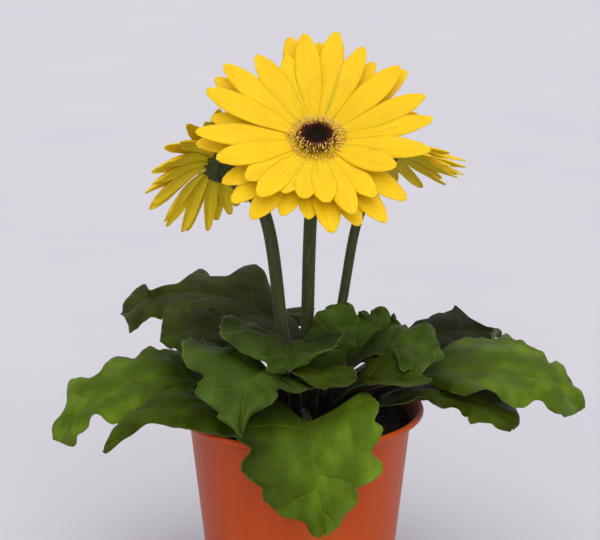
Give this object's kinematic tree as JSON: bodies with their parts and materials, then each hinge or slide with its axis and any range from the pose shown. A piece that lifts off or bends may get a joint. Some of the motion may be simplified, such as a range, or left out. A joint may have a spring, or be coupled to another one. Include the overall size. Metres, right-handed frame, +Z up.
{
  "type": "potted gerbera",
  "caption": "Yellow gerbera daisies on bare stems over a rosette of lobed leaves, growing in a round tapered plastic pot.",
  "frame": {"origin": "middle of the pot's flat underside, on the pot's axis", "axes": "+Z up along the pot's axis, towards the blooms; -Y towards the plant's front, where the largest bloom faces; +X to the right seen from the front"},
  "size_m": [0.2552, 0.182, 0.2887],
  "materials": {
    "pot_plastic": "satin",
    "potting_soil": "matte",
    "leaf_green": "satin",
    "leaf_young": "satin",
    "leaf_dark": "satin",
    "stem": "matte",
    "ray_petal": "matte",
    "inner_floret": "matte",
    "disc_bud": "matte"
  },
  "bodies": {
    "root": {"pot": "pot_plastic", "soil": "potting_soil", "leaf_left_wide": "leaf_green", "leaf_left_under": "leaf_green", "leaf_back_left": "leaf_dark", "leaf_back_tall": "leaf_dark", "leaf_left_inner": "leaf_green", "leaf_front_left": "leaf_young", "leaf_front_upper": "leaf_young", "leaf_front_under": "leaf_green", "leaf_front_hanging": "leaf_green", "leaf_right_inner": "leaf_young", "leaf_right_cupped": "leaf_green", "leaf_right_wide": "leaf_green", "leaf_right_back": "leaf_green", "leaf_right_under": "leaf_green", "leaf_back_middle": "leaf_green", "leaf_back_right": "leaf_green", "leaf_back_low": "leaf_green", "leaf_young_dark": "leaf_dark", "leaf_young_round": "leaf_young", "leaf_young_tall": "leaf_young", "leaf_young_pointed": "leaf_young", "stem_front": "stem", "rays_front": "ray_petal", "inner_florets_front": "inner_floret", "disc_front": "disc_bud", "stem_left": "stem", "rays_left": "ray_petal", "inner_florets_left": "inner_floret", "disc_left": "disc_bud", "stem_right": "stem", "rays_right": "ray_petal", "inner_florets_right": "inner_floret", "disc_right": "disc_bud"}
  },
  "joints": []
}
